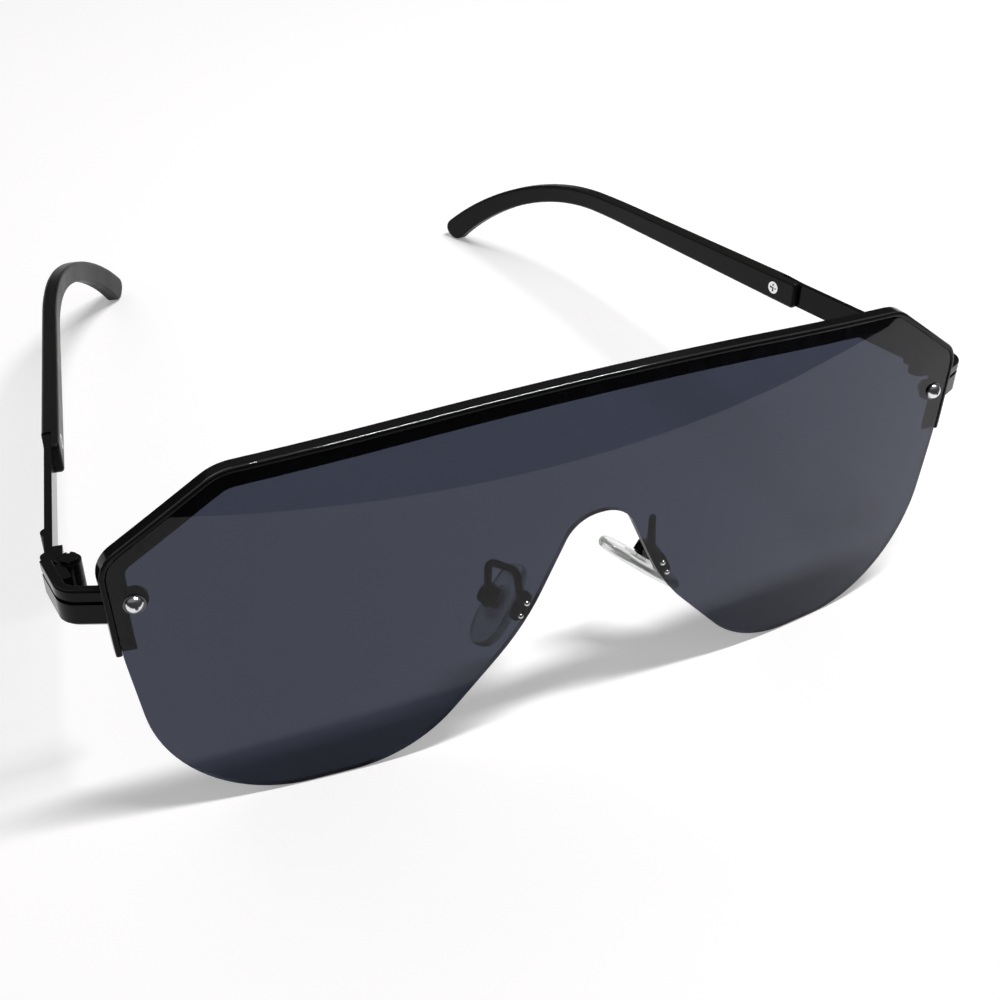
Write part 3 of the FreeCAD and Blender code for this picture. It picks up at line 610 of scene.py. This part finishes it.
def make_painted_shadow_card():
    """A painted shadow: a grey card on the floor at the foot of the lens, which only gloss shows, soft as
    the lens's shadow there: its front edge is the curve y = edge + slant x + curve x x. It has one grey
    along its dark stretch, rises evenly from there to white at both ends, and fades to white at the front."""
    low_end, high_end = shadow_card_ends
    dark_low, dark_high = shadow_card_darkest
    x = np.linspace(low_end, high_end, shadow_card_points)
    front = shadow_card_edge + shadow_card_slant * x + shadow_card_curve * x * x
    rows = (front, front + shadow_card_fade, np.full_like(x, shadow_card_back))
    spots = np.concatenate([np.stack([x, row, np.full_like(x, card_level)], axis=-1) for row in rows])
    # The painted shadow is darkest along the dark stretch and pales to white at both ends
    rise = np.maximum((x - dark_high) / (high_end - dark_high), (dark_low - x) / (dark_low - low_end))
    grey = shadow_card_grey + (1.0 - shadow_card_grey) * np.maximum(0.0, rise)
    mesh = make_card("painted_shadow_card", spots * MM, strip_faces(len(x), len(rows)), make_painted_shadow_grey())
    mesh.attributes.new("grey", "FLOAT", "POINT").data.foreach_set(
        "value", np.concatenate([np.ones_like(x), grey, grey]))


def make_dark_ring():
    """A ring of cards round the set: points on a circle at two heights, of which the upper one rises
    from the sides to the front with the sine of the turn."""
    turn = np.linspace(0.0, 2.0 * np.pi, ring_points)
    foot = np.stack([ring_radius * np.cos(turn), ring_radius * np.sin(turn), np.zeros_like(turn)], axis=-1)
    top = foot.copy()
    top[:, 2] = ring_back_height + ring_front_rise * np.maximum(0.0, -np.sin(turn))
    make_card("dark_ring", np.concatenate([foot, top]) * MM, strip_faces(len(turn), 2), dark_card)


def add_holder(name, data, right, up, back, spot):
    """An object for a lamp or a camera, from its three directions and its place."""
    holder = bpy.data.objects.new(name, data)
    turn = np.eye(4)
    turn[:3] = np.stack([right, up, back, spot], axis=-1)
    holder.matrix_world = Matrix(turn.tolist())
    scene.collection.objects.link(holder)
    return holder


def make_softbox(name, spot, target, along, width, height, watts):
    """A rectangular lamp at a spot, facing a target, with its width as near as can be along a
    direction."""
    lamp = bpy.data.lights.new(name, "AREA")
    lamp.shape = "RECTANGLE"
    lamp.size = width
    lamp.size_y = height
    lamp.energy = watts
    back = np.array(spot) - np.array(target)
    back /= np.linalg.norm(back)
    right = np.array(along) - back * np.dot(along, back)
    right /= np.linalg.norm(right)
    add_holder(name, lamp, right, np.cross(back, right), back, spot)


def make_world():
    """A studio dome: white at the horizon, grey above it, and white all over to the camera."""
    world = bpy.data.worlds.new("studio")
    scene.world = world
    world.use_nodes = True
    tree = world.node_tree
    height = tree.nodes.new("ShaderNodeSeparateXYZ")
    tree.links.new(coordinates(tree, "Generated"), height.inputs["Vector"])
    ramp = tree.nodes.new("ShaderNodeValToRGB")
    for stop, position, colour in zip(ramp.color_ramp.elements, sky_heights, (WHITE, sky_grey)):
        stop.position = position
        stop.color = colour
    tree.links.new(height.outputs["Z"], ramp.inputs["Fac"])
    seen = tree.nodes.new("ShaderNodeLightPath").outputs["Is Camera Ray"]
    sky = mix_colour(tree, seen, ramp.outputs["Color"], WHITE)
    tree.links.new(sky, tree.nodes["Background"].inputs["Color"])


def make_camera():
    """The camera of the photograph, from its place and three directions."""
    data = bpy.data.cameras.new("camera")
    data.lens = camera_lens
    data.sensor_width = camera_sensor
    data.clip_start = camera_nearest
    scene.camera = add_holder("camera", data, camera_right, camera_up, camera_back, camera_spot)


dark_card = make_matt("dark_card", colour=(0.05, 0.05, 0.052, 1.0), speck=(0.06, 0.06, 0.06, 1.0),
                      smooth=0.9, worn=1.0, grain=50.0)
make_floor()
make_world()
make_front_card()
make_painted_shadow_card()
make_dark_ring()
make_softbox("overhead_strip", spot=(0.225, -0.06, 0.8), target=(0.225, -0.06, 0.0),
             along=(1.0, 0.0, 0.0), width=0.45, height=0.05, watts=5.0)
make_softbox("rear_softbox", spot=(-0.3, 0.55, 0.6), target=(0.0, 0.0, 0.03),
             along=(1.0, 0.0, 0.0), width=0.5, height=0.4, watts=0.5)
make_camera()
